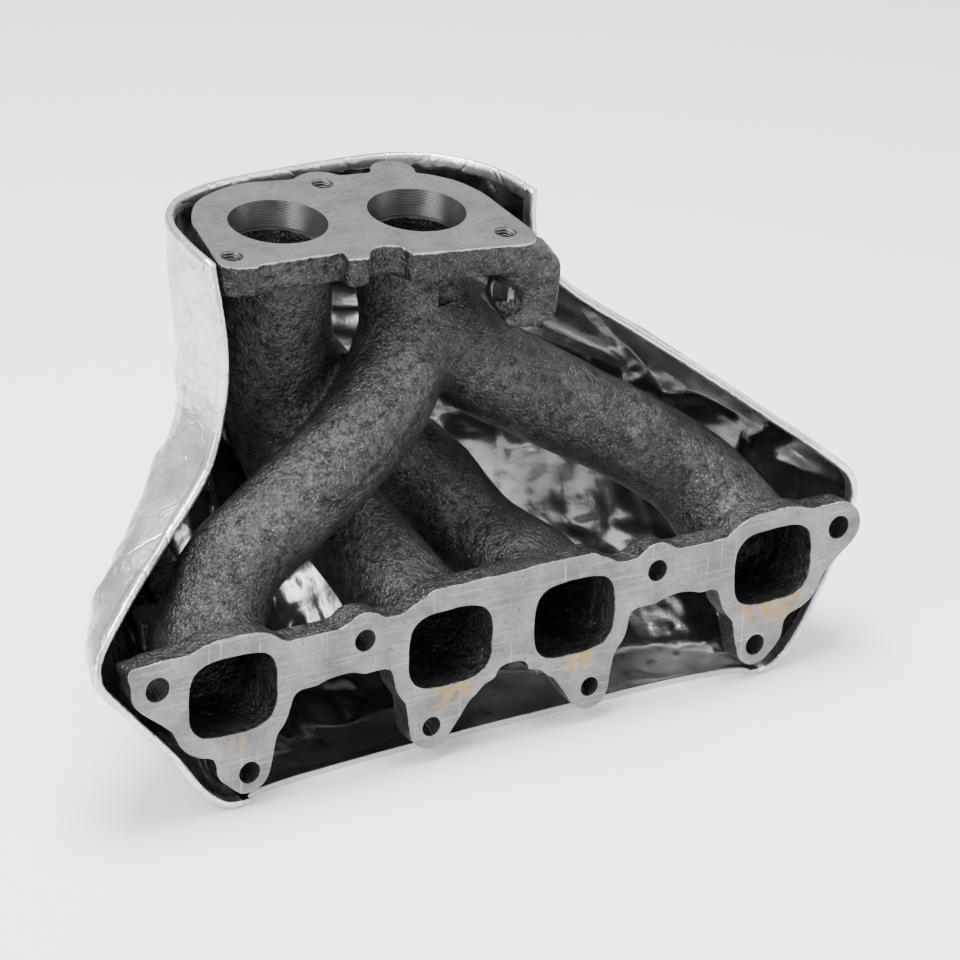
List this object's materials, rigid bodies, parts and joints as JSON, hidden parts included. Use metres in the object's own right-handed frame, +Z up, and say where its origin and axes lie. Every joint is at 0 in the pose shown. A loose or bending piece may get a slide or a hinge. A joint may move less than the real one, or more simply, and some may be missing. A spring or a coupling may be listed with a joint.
{
  "type": "exhaust_manifold",
  "caption": "Cast iron exhaust manifold: curved tubes from a long port flange join in pairs under a tilted outlet flange, inside a crumpled double-skinned heat shield.",
  "frame": {"origin": "in the plane of the machined head face, midway between the outer ports and midway between the two rows of stud holes", "axes": "+X along the cylinder head towards the fourth port, -Y out of the head face towards the cylinder head, +Z up towards the outlet flange; metres in the row, millimetres in the source"},
  "size_m": [0.3746, 0.145, 0.2128],
  "materials": {
    "sand_cast_iron": "coarse sand-cast skin, dark grey, with bright specks",
    "machined_iron": "flat machined face, light grey, finely scratched, rust at the edges",
    "bright_foil": "thin crumpled sheet, bright silver outside",
    "dark_foil": "thin crumpled sheet, mirror-like and soot-darkened inside",
    "fibre_mat": "off-white mineral fibre felt",
    "zinc_steel": "zinc plated"
  },
  "bodies": {
    "root": {"head_flange": "machined_iron", "runner_1": "sand_cast_iron", "runner_2": "sand_cast_iron", "runner_3": "sand_cast_iron", "runner_4": "sand_cast_iron", "front_collector": "sand_cast_iron", "rear_collector": "sand_cast_iron", "outlet_flange": "machined_iron", "bracket_lug": "sand_cast_iron", "boss_1": "sand_cast_iron", "boss_2": "sand_cast_iron", "boss_3": "sand_cast_iron", "boss_4": "sand_cast_iron", "shield_inner_skin": "dark_foil", "shield_mat": "fibre_mat", "shield_outer_skin": "bright_foil", "washer_1": "zinc_steel", "washer_2": "zinc_steel", "washer_3": "zinc_steel", "washer_4": "zinc_steel", "screw_1": "zinc_steel", "screw_2": "zinc_steel", "screw_3": "zinc_steel", "screw_4": "zinc_steel"}
  },
  "joints": []
}
